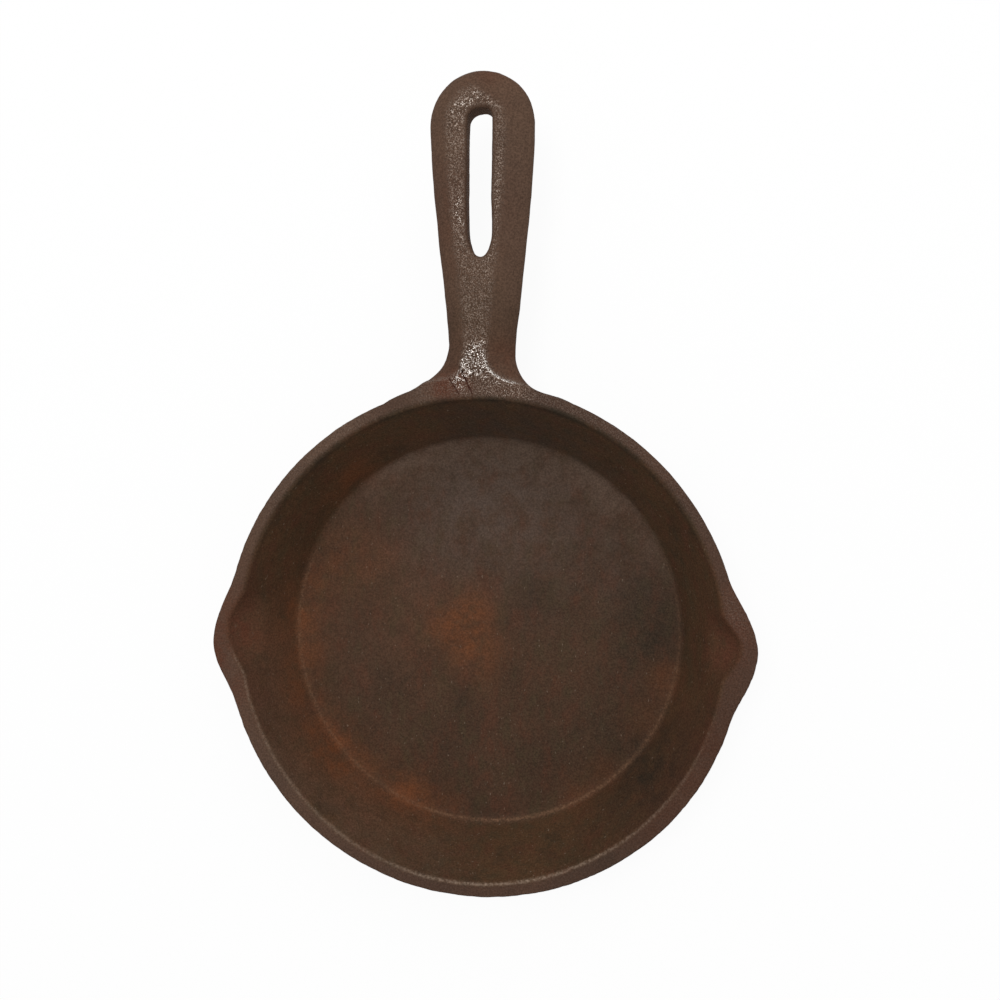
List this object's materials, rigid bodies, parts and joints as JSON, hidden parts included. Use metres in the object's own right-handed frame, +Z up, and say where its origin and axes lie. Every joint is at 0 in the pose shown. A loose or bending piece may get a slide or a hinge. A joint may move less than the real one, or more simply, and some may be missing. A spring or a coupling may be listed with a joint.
{
  "type": "cast iron egg skillet",
  "caption": "Small round cast iron skillet with a leaning wall, a pour spout on each side and a flat, tapered handle with a long hanging slot.",
  "frame": {"origin": "centre of the pan's flat underside", "axes": "+Z up out of the pan, +Y along the handle, away from the pan, +X towards the right-hand spout"},
  "size_m": [0.176, 0.2625, 0.0343],
  "materials": {
    "iron": "rough as-cast iron with a thin brown bloom of rust"
  },
  "bodies": {
    "root": {"pan": "iron", "handle": "iron"}
  },
  "joints": []
}
